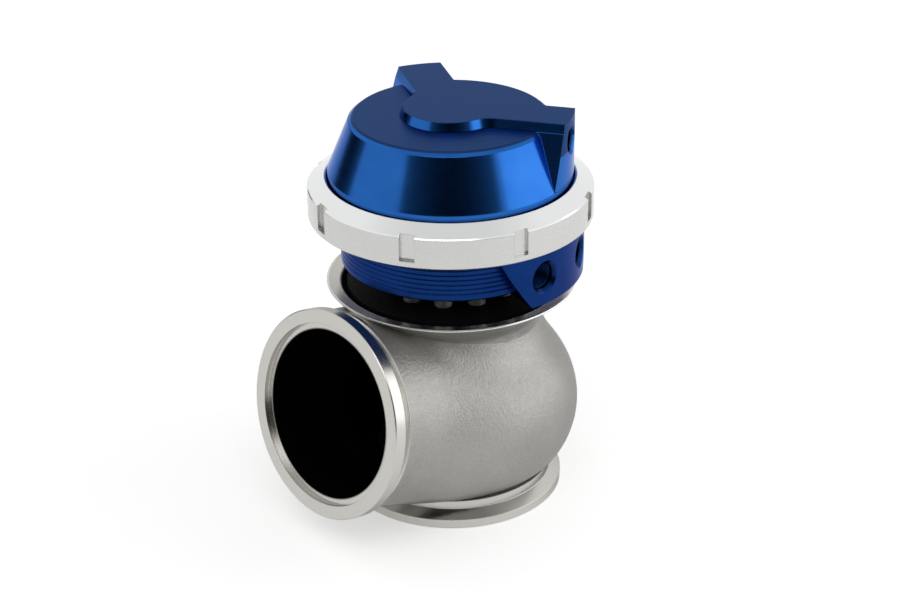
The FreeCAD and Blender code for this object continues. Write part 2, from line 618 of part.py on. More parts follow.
def make_top_cap():
    """Blue anodised cap: cone with two drafted port arms and a raised hub and arm pad."""
    body = new_body("top_cap")
    crown_up = "( crown_z - cone_z )"
    slope = f"( skirt_radius - crown_radius ) / {crown_up}"
    turned(body, "shell", [
        ("0", "face_z + rubber"), ("flange_radius", "face_z + rubber"),
        ("flange_radius", "face_z + rubber + flange_thick"),
        ("skirt_radius", "face_z + rubber + flange_thick"), ("skirt_radius", "cone_z"),
        (f"crown_radius + 1.4 * {slope}", "crown_z - 1.4"),
        ("crown_radius - 1.1", "crown_z"), ("0", "crown_z"),
    ])
    for index, bearing in arm_rotations():
        arm = body.newObject("PartDesign::AdditiveLoft", f"arm_{index + 1}")
        levels = []
        for name, level, half in (("foot", "cone_z", "arm_low_half"),
                                  ("head", "crown_z", "arm_high_half")):
            sketch = body.newObject("Sketcher::SketchObject", f"arm_{index + 1}_{name}")
            attach(sketch, body, "XY_Plane", (None, None, level), bearing)
            outline(sketch, [("0", f"0 - {half}"), ("arm_end + arm_spare", f"0 - {half}"),
                             ("arm_end + arm_spare", half), ("0", half)])
            levels.append(sketch)
        arm.Profile = levels[0]
        arm.Sections = [levels[1]]
        arm.Ruled = True
        body.Tip = arm
        doc.recompute()
    primitive(body, "AdditiveCylinder", "hub", {
        "Radius": "hub_radius", "Height": "pad_tall"}, (None, None, "crown_z"))
    for index, bearing in arm_rotations():
        pad = body.newObject("PartDesign::Pad", f"arm_pad_{index + 1}")
        sketch = body.newObject("Sketcher::SketchObject", f"arm_pad_{index + 1}_outline")
        attach(sketch, body, "XY_Plane", (None, None, "crown_z"), bearing)
        outline(sketch, [("0", "0 - pad_half"), ("arm_end + arm_spare", "0 - pad_half"),
                         ("arm_end + arm_spare", "pad_half"), ("0", "pad_half")])
        pad.Profile = sketch
        bind(pad, "Length", "pad_tall")
        body.Tip = pad
        doc.recompute()
    turned(body, "arm_turning", [
        ("arm_end", "cone_z"), ("arm_end + 20", "cone_z"),
        ("arm_end + 20", "crown_z + pad_tall + 1"), ("arm_end", "crown_z + pad_tall + 1"),
    ], cut=True)
    blend_pad(body)
    turned(body, "spring_cavity", [
        ("0", "face_z"), ("cavity_radius", "face_z"), ("cavity_radius", "cavity_straight"),
        ("cavity_roof", "roof_z"), ("stem_recess", "roof_z"), ("stem_recess", "roof_z + 2"),
        ("0", "roof_z + 2"),
    ], cut=True)
    radial_ports(body, 2, "arm_first + arm_step / 2", "arm_step", "arm_end", "arm_port_z",
                 "arm_drill_z", "cavity_roof - 1")
    keep("top_cap", body)


def blend_pad(body):
    """Round the four inside corners where the arm pads leave the hub."""
    corner = math.sqrt(size("hub_radius") ** 2 - size("pad_half") ** 2)
    reach = math.hypot(corner, size("pad_half"))
    names = []
    for number, edge in enumerate(body.Shape.Edges, start=1):
        middle = edge.CenterOfMass
        if len(edge.Vertexes) != 2 or middle.z < size("crown_z") + 0.5:
            continue
        low, high = (v.Point for v in edge.Vertexes)
        if math.hypot(low.x - high.x, low.y - high.y) > 1e-4 or abs(low.z - high.z) < 1:
            continue
        if abs(math.hypot(middle.x, middle.y) - reach) < 0.05:
            names.append(f"Edge{number}")
    padded = body.Tip
    fillet = body.newObject("PartDesign::Fillet", "pad_blends")
    fillet.Base = (padded, names)
    bind(fillet, "Radius", "pad_blend")
    body.Tip = fillet
    doc.recompute()


def make_locking_collar():
    """Silver threaded ring that clamps the cap to the housing, with eight spanner slots."""
    body = new_body("locking_collar")
    turned(body, "ring", [
        ("collar_bore", "collar_bottom"), ("collar_radius - 0.5", "collar_bottom"),
        ("collar_radius", "collar_bottom + 0.5"), ("collar_radius", "collar_edge - 0.4"),
        ("collar_radius - 0.35", "collar_edge"), ("collar_hole + 0.7", "collar_top"),
        ("collar_hole", "collar_top - 0.4"), ("collar_hole", "lip_z"), ("collar_bore", "lip_z"),
    ])
    slot = primitive(body, "SubtractiveBox", "spanner_slot", {
        "Length": "slot_wide", "Width": "slot_wide", "Height": "collar_top"},
        ("slot_floor", "0 - slot_wide / 2", "slot_bottom"))
    around(body, "spanner_slots", [slot], "360", "slot_count")
    body.Placement = FreeCAD.Placement(FreeCAD.Vector(), FreeCAD.Rotation(
        FreeCAD.Vector(0, 0, 1), size("slot_first")))
    bind(body, "Placement.Rotation.Angle", "slot_first")
    keep("locking_collar", body)


make_valve_body()
make_valve_seat()
make_valve_guide()
make_valve()
make_heat_shield()
make_spacer_sleeves()
make_base_screws()
make_lower_housing()
make_stem_seal()
make_seal_clip()
make_lower_plate()
make_diaphragm()
make_upper_plate()
make_stem_washer()
make_stem_nut()
make_spring("spring_outer", "outer_coil", "outer_wire", "outer_turns")
make_spring("spring_middle", "middle_coil", "middle_wire", "middle_turns")
make_spring("spring_inner", "inner_coil", "inner_wire", "inner_turns")
make_top_cap()
make_locking_collar()
doc.recompute()

for thing in doc.Objects:
    if "Invalid" in thing.State or "Error" in thing.State:
        raise RuntimeError(f"{thing.Label} did not build: {thing.State}")
for label, thing in parts.items():
    if thing.Shape.isNull() or not thing.Shape.isValid():
        raise RuntimeError(f"{label} is not a sound solid")

os.makedirs("parts", exist_ok=True)
for label, thing in parts.items():
    thing.Shape.exportStep(f"parts/{label}.step")
    print(f"{label}: {len(thing.Shape.Solids)} solid(s), {thing.Shape.Volume:.1f} mm3")
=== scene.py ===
import json
import math

import bpy
import numpy as np
from mathutils import Matrix, Vector


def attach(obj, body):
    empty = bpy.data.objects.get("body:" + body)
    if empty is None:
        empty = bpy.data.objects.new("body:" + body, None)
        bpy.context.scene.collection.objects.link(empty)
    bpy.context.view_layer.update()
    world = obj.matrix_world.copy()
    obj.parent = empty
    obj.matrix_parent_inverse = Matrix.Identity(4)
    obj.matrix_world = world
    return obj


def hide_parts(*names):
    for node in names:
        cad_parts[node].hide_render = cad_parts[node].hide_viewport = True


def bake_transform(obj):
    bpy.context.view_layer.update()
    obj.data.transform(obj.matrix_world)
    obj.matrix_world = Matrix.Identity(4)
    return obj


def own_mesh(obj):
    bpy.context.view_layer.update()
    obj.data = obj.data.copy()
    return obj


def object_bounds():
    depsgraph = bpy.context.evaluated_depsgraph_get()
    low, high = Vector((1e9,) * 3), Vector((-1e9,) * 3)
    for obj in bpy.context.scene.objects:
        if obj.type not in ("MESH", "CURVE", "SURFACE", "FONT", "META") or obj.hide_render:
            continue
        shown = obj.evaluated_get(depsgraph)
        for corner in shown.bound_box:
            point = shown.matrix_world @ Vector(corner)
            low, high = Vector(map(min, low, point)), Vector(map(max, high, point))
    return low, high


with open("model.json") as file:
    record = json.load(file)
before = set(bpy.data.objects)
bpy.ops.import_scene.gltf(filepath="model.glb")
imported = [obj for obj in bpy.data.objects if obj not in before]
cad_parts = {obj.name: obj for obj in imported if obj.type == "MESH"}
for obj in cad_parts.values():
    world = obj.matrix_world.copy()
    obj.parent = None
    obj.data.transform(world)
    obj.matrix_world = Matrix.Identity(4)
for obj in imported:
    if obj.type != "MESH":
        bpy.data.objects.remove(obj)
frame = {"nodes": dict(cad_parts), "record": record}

cadBox = [list(corner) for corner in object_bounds()]


# helpers for node materials

def newMaterial(name):
    material = bpy.data.materials.new(name)
    material.use_nodes = True
    nodes = material.node_tree.nodes
    return material, nodes, material.node_tree.links, nodes["Principled BSDF"]


def addNode(nodes, kind, **values):
    node = nodes.new(kind)
    for name, value in values.items():
        if name in node.inputs:
            node.inputs[name].default_value = value
        else:
            setattr(node, name, value)
    return node


def objectPoint(nodes):
    return nodes.new("ShaderNodeTexCoord").outputs["Object"]


def noise(nodes, links, point, scale, detail=3.0):
    texture = addNode(nodes, "ShaderNodeTexNoise", Scale=scale, Detail=detail)
    links.new(point, texture.inputs["Vector"])
    return texture.outputs["Fac"]


def spread(nodes, links, source, low, high, fromLow=0.3, fromHigh=0.7):
    span = nodes.new("ShaderNodeMapRange")
    for socket, value in zip(span.inputs[1:5], (fromLow, fromHigh, low, high)):
        socket.default_value = value
    links.new(source, span.inputs[0])
    return span.outputs[0]


def blendColour(nodes, links, factor, first, second):
    mix = nodes.new("ShaderNodeMix")
    mix.data_type = "RGBA"
    mix.inputs[6].default_value = (*first, 1)
    mix.inputs[7].default_value = (*second, 1)
    links.new(factor, mix.inputs[0])
    return mix.outputs[2]


def addBump(nodes, links, surface, height, strength, distance, edge=0.0):
    bump = addNode(nodes, "ShaderNodeBump", Strength=strength, Distance=distance)
    links.new(height, bump.inputs["Height"])
    if edge:  # softly broken edges catch the light
        rounded = nodes.new("ShaderNodeBevel")
        rounded.samples = 4
        rounded.inputs["Radius"].default_value = edge
        links.new(rounded.outputs[0], bump.inputs["Normal"])
    links.new(bump.outputs["Normal"], surface.inputs["Normal"])


def stretched(nodes, links, scale):
    mapping = nodes.new("ShaderNodeMapping")
    mapping.inputs["Scale"].default_value = scale
    links.new(objectPoint(nodes), mapping.inputs["Vector"])
    return mapping.outputs["Vector"]


def mathNode(nodes, links, operation, first, second=None):
    node = nodes.new("ShaderNodeMath")
    node.operation = operation
    for socket, value in zip(node.inputs, (first, second)):
        if isinstance(value, (int, float)):
            socket.default_value = value
        elif value is not None:
            links.new(value, socket)
    return node.outputs[0]


def times(nodes, links, first, second):
    return mathNode(nodes, links, "MULTIPLY", first, second)


def plus(nodes, links, first, second):
    return mathNode(nodes, links, "ADD", first, second)


def minus(nodes, links, first, second):
    return mathNode(nodes, links, "SUBTRACT", first, second)


def larger(nodes, links, first, second):
    return mathNode(nodes, links, "MAXIMUM", first, second)


def crossLength(nodes, links, first, second):  # length of two parts at right angles
    return mathNode(nodes, links, "SQRT", plus(nodes, links, times(nodes, links, first, first),
                                               times(nodes, links, second, second)))


def stepUp(nodes, links, value, edge, soft=0.0003):  # 0 below the edge, 1 above it
    return spread(nodes, links, value, 0, 1, edge - soft, edge + soft)


def stepDown(nodes, links, value, edge, soft=0.0003):  # 1 below the edge, 0 above it
    return minus(nodes, links, 1.0, stepUp(nodes, links, value, edge, soft))


def axisParts(nodes, links):  # x, y, z and the distance from the valve axis
    split = nodes.new("ShaderNodeSeparateXYZ")
    links.new(objectPoint(nodes), split.inputs[0])
    x, y, z = split.outputs
    return x, y, z, crossLength(nodes, links, x, y)


def facing(nodes, links):  # how far the surface faces up, from -1 to 1
    split = nodes.new("ShaderNodeSeparateXYZ")
    links.new(nodes.new("ShaderNodeTexCoord").outputs["Normal"], split.inputs[0])
    return split.outputs[2]


def mixNumber(nodes, links, factor, first, second):
    mix = nodes.new("ShaderNodeMix")
    for socket, value in ((mix.inputs[0], factor), (mix.inputs[2], first), (mix.inputs[3], second)):
        if isinstance(value, (int, float)):
            socket.default_value = value
        else:
            links.new(value, socket)
    return mix.outputs[0]


def layColour(nodes, links, factor, under, over):  # over is a plain colour
    mix = nodes.new("ShaderNodeMix")
    mix.data_type = "RGBA"
    links.new(under, mix.inputs[6])
    mix.inputs[7].default_value = (*over, 1)
    links.new(factor, mix.inputs[0])
    return mix.outputs[2]


# stainless casting: blasted skin, machined flanges and rims, painted shade (near black) in the gas
# passage, black inside the dish
casting = {"dark": (0.32, 0.31, 0.293), "light": (0.415, 0.405, 0.385),
           "roughness": (0.38, 0.46), "skinMetal": 0.75, "edgeTint": (0.55, 0.55, 0.55),
           "machined": (0.56, 0.55, 0.52), "machinedRoughness": 0.24,
           # painted shade: near black for the bore and chamber, the same colour is used inside the
           # dish
           "boreShadeAndDishBlack": (0.003, 0.003, 0.003), "boreShadeAndDishRoughness": 0.75,
           "grainScale": 1500, "pitScale": 520, "toneScale": 45, "grainShare": 0.55,
           "grainDepth": 0.00030, "grainStrength": 0.55, "pitDepth": 0.8, "plainDepth": 0.5,
           "mottle": (0.32, 0.68), "edge": 0.0004,
           "outletHeight": 0.0348, "outletTilt": 9.95,  # the outlet's axis
           "outletFace": 0.0501, "outletLip": 0.0278, "inletTop": 0.0084,  # machined from here
           "rimLow": 0.0752, "rimInside": 0.0371,
           "boreStart": 0.012, "boreRadius": 0.0283,  # painted black shade reaches out to here
           "chamberLow": 0.0020, "chamberHigh": 0.0562, "throat": 0.0265,
           "ring": 0.0145, "ringHeight": 0.0304, "wallInside": 0.0240,
           "dishLow": 0.0735, "dishRadius": 0.0368}


def machinedMask(nodes, links, settings, z, radius, reach, across):
    onOutlet = times(nodes, links, stepUp(nodes, links, reach, settings["outletFace"]),
                     stepUp(nodes, links, across, settings["outletLip"]))
    onInlet = stepDown(nodes, links, z, settings["inletTop"])
    onRim = times(nodes, links, stepUp(nodes, links, z, settings["rimLow"]),
                  stepUp(nodes, links, radius, settings["rimInside"]))
    return larger(nodes, links, onOutlet, larger(nodes, links, onInlet, onRim))


def blackMask(nodes, links, settings, z, radius, reach, across):  # painted shade in the bore and chamber, and black inside the dish
    inBore = times(nodes, links, stepUp(nodes, links, reach, settings["boreStart"]),
                   stepDown(nodes, links, across, settings["boreRadius"]))
    inChamber = times(nodes, links, stepUp(nodes, links, z, settings["chamberLow"]),
                      stepDown(nodes, links, z, settings["chamberHigh"]))
    wallGap = crossLength(nodes, links, minus(nodes, links, radius, settings["ring"]),
                          minus(nodes, links, z, settings["ringHeight"]))
    inside = larger(nodes, links, stepDown(nodes, links, wallGap, settings["wallInside"]),
                    stepDown(nodes, links, radius, settings["throat"]))
    onDish = times(nodes, links, stepUp(nodes, links, z, settings["dishLow"]),
                   stepDown(nodes, links, radius, settings["dishRadius"]))
    # painted shade in the bore and chamber
    boreShade = larger(nodes, links, inBore, times(nodes, links, inChamber, inside))
    return larger(nodes, links, boreShade, onDish)


def makeCasting(settings):
    material, nodes, links, surface = newMaterial("castStainless")
    point = objectPoint(nodes)
    x, y, z, radius = axisParts(nodes, links)
    grain = noise(nodes, links, point, settings["grainScale"], 4)
    pits = noise(nodes, links, point, settings["pitScale"], 5)
    tone = noise(nodes, links, point, settings["toneScale"], 4)
    tilt = math.radians(settings["outletTilt"])
    rise = minus(nodes, links, z, settings["outletHeight"])
    reach = minus(nodes, links, times(nodes, links, rise, math.sin(tilt)),
                  times(nodes, links, y, math.cos(tilt)))
    lift = plus(nodes, links, times(nodes, links, rise, math.cos(tilt)),
                times(nodes, links, y, math.sin(tilt)))
    across = crossLength(nodes, links, x, lift)
    machined = machinedMask(nodes, links, settings, z, radius, reach, across)
    black = blackMask(nodes, links, settings, z, radius, reach, across)
    mottle = plus(nodes, links, times(nodes, links, tone, 1 - settings["grainShare"]),
                  times(nodes, links, grain, settings["grainShare"]))
    skinColour = blendColour(nodes, links,
                             spread(nodes, links, mottle, 0, 1, *settings["mottle"]),
                             settings["dark"], settings["light"])
    colour = layColour(nodes, links, machined, skinColour, settings["machined"])
    links.new(layColour(nodes, links, black, colour, settings["boreShadeAndDishBlack"]),
              surface.inputs["Base Color"])
    rough = mixNumber(nodes, links, machined, spread(nodes, links, pits, *settings["roughness"]),
                      settings["machinedRoughness"])
    links.new(mixNumber(nodes, links, black, rough, settings["boreShadeAndDishRoughness"]),
              surface.inputs["Roughness"])
    links.new(mixNumber(nodes, links, larger(nodes, links, machined, black),
                        settings["skinMetal"], 1.0), surface.inputs["Metallic"])
    surface.inputs["Specular Tint"].default_value = (*settings["edgeTint"], 1)
    skinHeight = plus(nodes, links, grain, times(nodes, links, pits, settings["pitDepth"]))
    height = mixNumber(nodes, links, machined, skinHeight, settings["plainDepth"])
    addBump(nodes, links, surface, height, settings["grainStrength"], settings["grainDepth"],
            settings["edge"])
    return material


# machined and polished stainless steel, with rings left by the lathe
def makeTurnedSteel(name, colour, roughness, ringScale, bump):
    material, nodes, links, surface = newMaterial(name)
    rings = noise(nodes, links, stretched(nodes, links, (1, 1, ringScale)), 220, 2)
    links.new(spread(nodes, links, rings, *roughness), surface.inputs["Roughness"])
    shade = blendColour(nodes, links, noise(nodes, links, objectPoint(nodes), 90),
                        tuple(0.9 * c for c in colour), colour)
    links.new(shade, surface.inputs["Base Color"])
    surface.inputs["Metallic"].default_value = 1.0
    addBump(nodes, links, surface, rings, bump, 0.00002)
    return material


# clear anodised aluminium collar: satin wall, brighter turned bevel and the thread inside
collarFinish = {"colour": (0.60, 0.60, 0.585), "roughness": (0.25, 0.29), "edge": 0.0004,
                "bevelColour": (0.78, 0.785, 0.79), "bevelRoughness": 0.14, "bevelUp": 0.2,
                "threadLow": 0.1005, "threadHigh": 0.1095, "ringBump": 0.001}
thread = {"inside": 0.0430, "outside": 0.0434, "pitch": 0.0015, "depth": 0.0006,
          "strength": 0.8}


def threadHeight(nodes, links, z, radius, low, high):  # ridges between two heights
    wave = mathNode(nodes, links, "PINGPONG", z, thread["pitch"] / 2)
    band = times(nodes, links, stepUp(nodes, links, z, low, 0.0001),
                 stepDown(nodes, links, z, high, 0.0001))
    ring = times(nodes, links, stepUp(nodes, links, radius, thread["inside"], 0.0001),
                 stepDown(nodes, links, radius, thread["outside"], 0.0001))
    share = mathNode(nodes, links, "DIVIDE", wave, thread["pitch"] / 2)
    return times(nodes, links, times(nodes, links, band, ring), share)


def makeCollarAluminium(settings):
    material, nodes, links, surface = newMaterial("satinAluminium")
    _, _, z, radius = axisParts(nodes, links)
    rings = noise(nodes, links, stretched(nodes, links, (1, 1, 25)), 260, 3)
    shade = blendColour(nodes, links, noise(nodes, links, objectPoint(nodes), 80),
                        tuple(0.94 * c for c in settings["colour"]), settings["colour"])
    bevel = stepUp(nodes, links, facing(nodes, links), settings["bevelUp"], 0.02)
    links.new(layColour(nodes, links, bevel, shade, settings["bevelColour"]),
              surface.inputs["Base Color"])
    links.new(mixNumber(nodes, links, bevel, spread(nodes, links, rings, *settings["roughness"]),
                        settings["bevelRoughness"]), surface.inputs["Roughness"])
    surface.inputs["Metallic"].default_value = 1.0
    ridges = threadHeight(nodes, links, z, radius, settings["threadLow"], settings["threadHigh"])
    height = plus(nodes, links, ridges, times(nodes, links, rings, settings["ringBump"]))
    addBump(nodes, links, surface, height, thread["strength"], thread["depth"],
            settings["edge"])
    return material


# dyed anodising: satin on flat and milled faces, glossy on turned ones; the darker face and flank
# colours are painted shade, and the base is darker all over as painted shade
capFinish = {"name": "blueCap", "deep": (0.014, 0.100, 0.38), "bright": (0.020, 0.122, 0.44),
             # painted shade: face and flank are darker copies of the dye for up-facing and sideways
             # faces, with a real satin roughness
             "roughness": (0.15, 0.20), "face": (0.012, 0.038, 0.125), "faceRoughness": 0.40,
             "flank": (0.009, 0.034, 0.120), "flankRoughness": 0.42, "milledAbove": 0.1265,
             "satinAndShadeRadius": 0.0322, "coat": 0.03, "edgeTint": (0.58, 0.66, 0.88),
             "edge": 0.00035, "ports": ("upper_port_1", "upper_port_2")}
# painted shade: the base's colours are darker copies of the cap's blue, standing in for shade under
# the collar
shadedBaseFinish = {"name": "blueBaseShaded", "deep": (0.0036, 0.023, 0.122),
              "bright": (0.0050, 0.032, 0.158), "roughness": (0.22, 0.30),
              "face": (0.006, 0.035, 0.17), "faceRoughness": 0.32,
              "flank": (0.0043, 0.028, 0.14), "flankRoughness": 0.28, "milledAbove": 0.2,
              "satinAndShadeRadius": 0.0, "coat": 0.03, "edgeTint": (0.60, 0.62, 0.84),
              "edge": 0.00035, "ports": ("lower_port_1", "lower_port_2")}
# painted shade: port insides and their thread crests are coloured near black blue
portShade = {"colour": (0.003, 0.014, 0.060), "deep": 0.0250, "radius": 0.0050}
dyedThread = {"low": 0.0984, "high": 0.1058}
dyedSlopes = {"crown": 0.5, "flat": 0.97, "wall": 0.12}  # how far each kind faces up
dyedBump = {"blast": 0.06, "rings": 0.004}
mounts = {mount["name"]: mount for mount in frame["record"]["mounts"]}


def portMask(nodes, links, x, y, z, name):  # 1 inside a port bored square to the valve axis
    outX, outY, _ = mounts[name]["axis"]
    along = plus(nodes, links, times(nodes, links, x, outX), times(nodes, links, y, outY))
    across = minus(nodes, links, times(nodes, links, y, outX), times(nodes, links, x, outY))
    rise = minus(nodes, links, z, mounts[name]["pos_m"][2])
    away = crossLength(nodes, links, across, rise)
    return times(nodes, links, stepUp(nodes, links, along, portShade["deep"]),
                 stepDown(nodes, links, away, portShade["radius"], 0.0004))


def makeBlueAnodised(settings):
    material, nodes, links, surface = newMaterial(settings["name"])
    x, y, z, radius = axisParts(nodes, links)
    tone = noise(nodes, links, objectPoint(nodes), 70, 3)
    rings = noise(nodes, links, stretched(nodes, links, (1, 1, 30)), 150, 2)
    blast = noise(nodes, links, objectPoint(nodes), 2600, 2)
    up = facing(nodes, links)
    # painted shade on the crown chamfer, which also gets the satin roughness
    crown = times(nodes, links, stepUp(nodes, links, up, dyedSlopes["crown"], 0.01),
                  stepDown(nodes, links, radius, settings["satinAndShadeRadius"], 0.0001))
    flat = larger(nodes, links, stepUp(nodes, links, up, dyedSlopes["flat"], 0.01), crown)
    sideways = stepDown(nodes, links, mathNode(nodes, links, "ABSOLUTE", up),
                        dyedSlopes["wall"], 0.02)
    # sideways faces: milled roughness, and a darker colour as painted shade
    milledAndShaded = times(nodes, links, sideways, stepUp(nodes, links, z, settings["milledAbove"]))
    # painted shade inside the ports
    inPort = larger(nodes, links, *(portMask(nodes, links, x, y, z, name)
                                    for name in settings["ports"]))
    dye = blendColour(nodes, links, spread(nodes, links, tone, 0, 1), settings["deep"],
                      settings["bright"])
    colour = layColour(nodes, links, milledAndShaded, dye, settings["flank"])
    colour = layColour(nodes, links, flat, colour, settings["face"])
    links.new(layColour(nodes, links, inPort, colour, portShade["colour"]),
              surface.inputs["Base Color"])
    rough = mixNumber(nodes, links, milledAndShaded, spread(nodes, links, rings, *settings["roughness"]),
                      settings["flankRoughness"])
    links.new(mixNumber(nodes, links, flat, rough, settings["faceRoughness"]),
              surface.inputs["Roughness"])
    surface.inputs["Metallic"].default_value = 1.0
    surface.inputs["Specular Tint"].default_value = (*settings["edgeTint"], 1)
    surface.inputs["Coat Weight"].default_value = settings["coat"]
    surface.inputs["Coat Roughness"].default_value = 0.12
    fine = times(nodes, links, times(nodes, links, blast, flat), dyedBump["blast"])
    ridges = threadHeight(nodes, links, z, radius, dyedThread["low"], dyedThread["high"])
    height = plus(nodes, links, ridges, plus(nodes, links, fine,
                                             times(nodes, links, rings, dyedBump["rings"])))
    addBump(nodes, links, surface, height, thread["strength"], thread["depth"],
            settings["edge"])
    return material


# rubber and the heat shield's black coating
def makeBlack(name, colour, roughness, scale):
    material, nodes, links, surface = newMaterial(name)
    grain = noise(nodes, links, objectPoint(nodes), scale, 4)
    links.new(spread(nodes, links, grain, *roughness), surface.inputs["Roughness"])
    shade = blendColour(nodes, links, noise(nodes, links, objectPoint(nodes), 60),
                        tuple(0.7 * c for c in colour), colour)
    links.new(shade, surface.inputs["Base Color"])
    surface.inputs["Specular IOR Level"].default_value = 0.12
    addBump(nodes, links, surface, grain, 0.15, 0.00005)
    return material


finishes = {
    "cast": makeCasting(casting),
    "bright": makeTurnedSteel("brightStainless", (0.72, 0.71, 0.69), (0.14, 0.22), 8, 0.04),
    "satin": makeTurnedSteel("satinPlate", (0.78, 0.78, 0.77), (0.26, 0.36), 25, 0.05),
    "wire": makeTurnedSteel("springWire", (0.30, 0.31, 0.33), (0.32, 0.45), 1, 0.15),
    "heat": makeTurnedSteel("valveSteel", (0.20, 0.19, 0.18), (0.32, 0.45), 10, 0.08),
    "bronze": makeTurnedSteel("guideBronze", (0.52, 0.33, 0.14), (0.25, 0.36), 10, 0.08),
    "collar": makeCollarAluminium(collarFinish),
    "blueCap": makeBlueAnodised(capFinish),
    "blueBaseShaded": makeBlueAnodised(shadedBaseFinish),
    "shield": makeBlack("blackShield", (0.0022, 0.0022, 0.003), (0.6, 0.8), 900),
    "post": makeTurnedSteel("blastedStainless", (0.62, 0.62, 0.61), (0.42, 0.52), 3, 0.05),
    "rubber": makeBlack("blackRubber", (0.02, 0.02, 0.021), (0.5, 0.65), 700),
    # painted shade: dark blue for the port thread crests
    "portShadeBlue": makeTurnedSteel("blueThreadShaded", portShade["colour"], (0.35, 0.45), 1, 0.02),
}
nodeFinish = {
    "valve_body": "cast", "valve_seat": "heat", "valve_guide": "bronze", "valve": "heat",
    "heat_shield": "shield", "spacer_sleeves": "post", "base_screws": "bright",
    "lower_housing": "blueBaseShaded", "stem_seal": "rubber", "seal_clip": "wire",
    "lower_plate": "satin", "diaphragm": "rubber", "upper_plate": "satin",
    "stem_washer": "bright", "stem_nut": "bright", "spring_outer": "wire",
    "spring_middle": "wire", "spring_inner": "wire", "top_cap": "blueCap",
    "locking_collar": "collar",
}
for node, finish in nodeFinish.items():
    frame["nodes"][node].data.materials.clear()
    frame["nodes"][node].data.materials.append(finishes[finish])
print("finishes done")


def newPiece(name, vertices, faces, finish, smooth=True):
    mesh = bpy.data.meshes.new(name)
    mesh.from_pydata(vertices, [], faces)
    mesh.update()
    for polygon in mesh.polygons:
        polygon.use_smooth = smooth
    piece = bpy.data.objects.new(name, mesh)
    bpy.context.collection.objects.link(piece)
    piece.data.materials.append(finishes[finish])
    return piece


def loopedFaces(rows, columns, closed=False):  # quads over a grid, columns joined round
    faces = []
    for row in range(rows if closed else rows - 1):
        for column in range(columns):
            after, beside = (row + 1) % rows, (column + 1) % columns
            faces.append((row * columns + column, row * columns + beside,
                          after * columns + beside, after * columns + column))
    return faces


# springs: round wire whose ends are ground flat
springs = {
    "outerSpring": {"node": "spring_outer", "coil": 0.0226, "wire": 0.0030, "turns": 3.4},
    "middleSpring": {"node": "spring_middle", "coil": 0.0170, "wire": 0.0026, "turns": 4.0},
    "innerSpring": {"node": "spring_inner", "coil": 0.0115, "wire": 0.0022, "turns": 5.0},
}
springSeat = {"low": 0.1026, "high": 0.128, "clear": 0.0001, "keep": 0.525, "sides": 12,
              "stepsPerTurn": 40}


def makeSpring(name, settings):
    low, high, clear = (springSeat[k] for k in ("low", "high", "clear"))
    half, coil = settings["wire"] / 2, settings["coil"]
    count = int(settings["turns"] * springSeat["stepsPerTurn"]) + 1
    sides = springSeat["sides"]
    bottom, top = low + half, high - half
    vertices = []
    for step in range(count):
        share = step / (count - 1)
        angle = 2 * math.pi * settings["turns"] * share
        height = bottom + (top - bottom) * share
        for side in range(sides):
            turn = 2 * math.pi * side / sides
            radius = coil + half * math.cos(turn)
            level = min(max(height + half * math.sin(turn), low + clear), high - clear)
            vertices.append((radius * math.cos(angle), radius * math.sin(angle), level))
    faces = loopedFaces(count, sides)
    faces.append(tuple(reversed(range(sides))))
    faces.append(tuple(range((count - 1) * sides, count * sides)))
    piece = newPiece(name, vertices, faces, "wire")
    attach(piece, "housing")
    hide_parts(settings["node"])
    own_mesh(piece)


for name, settings in springs.items():
    makeSpring(name, settings)
print("springs done")


# diaphragm: hub held by the plates, bead held by the cap, and a fold that rolls between them
membrane = {"sectors": 24, "stepsPerSector": 4, "hubRadius": 0.0275, "stillRadius": 0.0297,
            "bead": [(0.0328, 0.1060), (0.0409, 0.1060), (0.0409, 0.1076), (0.0319, 0.1076)],
            "hub": [(0.00305, 0.0990), (0.0272, 0.0990), (0.0272, 0.1006), (0.00305, 0.1006)],
            "under": [(0.0270, 0.0990), (0.0278, 0.0991), (0.0290, 0.1008), (0.0302, 0.1029),
                      (0.0312, 0.1046), (0.0330, 0.1060)],
            "over": [(0.0321, 0.1076), (0.0305, 0.1062), (0.0297, 0.1052), (0.0286, 0.1031),
                     (0.0276, 0.1012), (0.0270, 0.1006)]}


def turnedRing(name, section, finish="rubber", steps=128):
    vertices = [(r * math.cos(2 * math.pi * s / steps), r * math.sin(2 * math.pi * s / steps), z)
                for s in range(steps) for r, z in section]
    return newPiece(name, vertices, loopedFaces(steps, len(section), closed=True), finish,
                    smooth=False)


def makeDiaphragm(settings):
    bead = turnedRing("diaphragmBead", settings["bead"])
    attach(bead, "housing")
    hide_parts("diaphragm")
    hub = turnedRing("diaphragmHub", settings["hub"])
    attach(hub, "valve_train")
    section = settings["under"] + settings["over"]
    columns, fine = len(section), settings["stepsPerSector"]
    for sector in range(settings["sectors"]):
        vertices = []
        for step in range(fine + 1):
            angle = 2 * math.pi * (sector + step / fine) / settings["sectors"]
            vertices += [(r * math.cos(angle), r * math.sin(angle), z) for r, z in section]
        fold = newPiece(f"diaphragmFold_{sector + 1:02d}", vertices,
                        loopedFaces(fine + 1, columns), "rubber")
        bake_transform(fold)


makeDiaphragm(membrane)
print("diaphragm done")


# shallow turned grooves on the base's wall
grooves = {"wall": 0.03652, "inside": 0.0355, "low": 0.0846, "high": 0.0981, "first": 0.0866,
           "pitch": 0.00165, "count": 7, "deep": 0.00022, "half": 0.00022}


